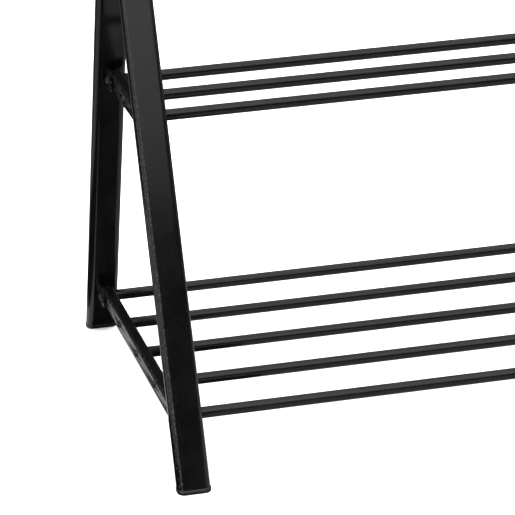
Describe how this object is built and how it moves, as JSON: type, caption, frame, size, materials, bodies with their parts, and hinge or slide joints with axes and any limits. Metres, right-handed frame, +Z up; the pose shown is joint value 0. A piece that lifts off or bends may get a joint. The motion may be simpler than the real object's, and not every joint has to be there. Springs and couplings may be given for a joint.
{
  "type": "drying rack",
  "caption": "Free-standing A-frame drying rack in black steel tube, with two rod shelves that swing up at the rear legs and a top rail.",
  "frame": {"origin": "on the floor, at the middle of the rack between its four feet", "axes": "+X along the rods, -Y towards the front, +Z up"},
  "size_m": [0.81, 0.5056, 0.613],
  "materials": {
    "frame_paint": "semi-gloss black powder coat",
    "rod_paint": "semi-gloss black powder coat",
    "black_moulding": "fine matt moulded black",
    "black_screw": "satin black",
    "zinc_steel": "bright zinc"
  },
  "bodies": {
    "frame": {"left_front_leg": "frame_paint", "left_rear_leg": "frame_paint", "right_front_leg": "frame_paint", "right_rear_leg": "frame_paint", "left_front_foot": "black_moulding", "left_rear_foot": "black_moulding", "right_front_foot": "black_moulding", "right_rear_foot": "black_moulding", "left_top_cap": "black_moulding", "right_top_cap": "black_moulding", "left_gusset": "frame_paint", "right_gusset": "frame_paint", "apex_bolts": "black_screw", "apex_nuts": "black_screw", "top_rod": "rod_paint", "top_rod_inserts": "zinc_steel", "top_rod_screws": "black_screw", "lower_left_pivot_bracket": "frame_paint", "lower_right_pivot_bracket": "frame_paint", "upper_left_pivot_bracket": "frame_paint", "upper_right_pivot_bracket": "frame_paint", "lower_left_rest": "frame_paint", "lower_right_rest": "frame_paint", "upper_left_rest": "frame_paint", "upper_right_rest": "frame_paint"},
    "lower_shelf": {"lower_left_bar": "frame_paint", "lower_right_bar": "frame_paint", "lower_bar_plugs": "black_moulding", "lower_rod_1": "rod_paint", "lower_rod_2": "rod_paint", "lower_rod_3": "rod_paint", "lower_rod_4": "rod_paint", "lower_rod_5": "rod_paint", "lower_rod_inserts": "zinc_steel", "lower_rod_screws": "black_screw", "lower_pivot_screws": "black_screw"},
    "upper_shelf": {"upper_left_bar": "frame_paint", "upper_right_bar": "frame_paint", "upper_bar_plugs": "black_moulding", "upper_rod_1": "rod_paint", "upper_rod_2": "rod_paint", "upper_rod_3": "rod_paint", "upper_rod_inserts": "zinc_steel", "upper_rod_screws": "black_screw", "upper_pivot_screws": "black_screw"}
  },
  "joints": [
    {"name": "lower_shelf_swing", "type": "hinge", "parent": "frame", "child": "lower_shelf", "pos_m": [0, 0.19475, 0.0525], "axis": [-1, 0, 0], "range_deg": [0, 40]},
    {"name": "upper_shelf_swing", "type": "hinge", "parent": "frame", "child": "upper_shelf", "pos_m": [0, 0.08275, 0.3385], "axis": [-1, 0, 0], "range_deg": [0, 66]}
  ]
}
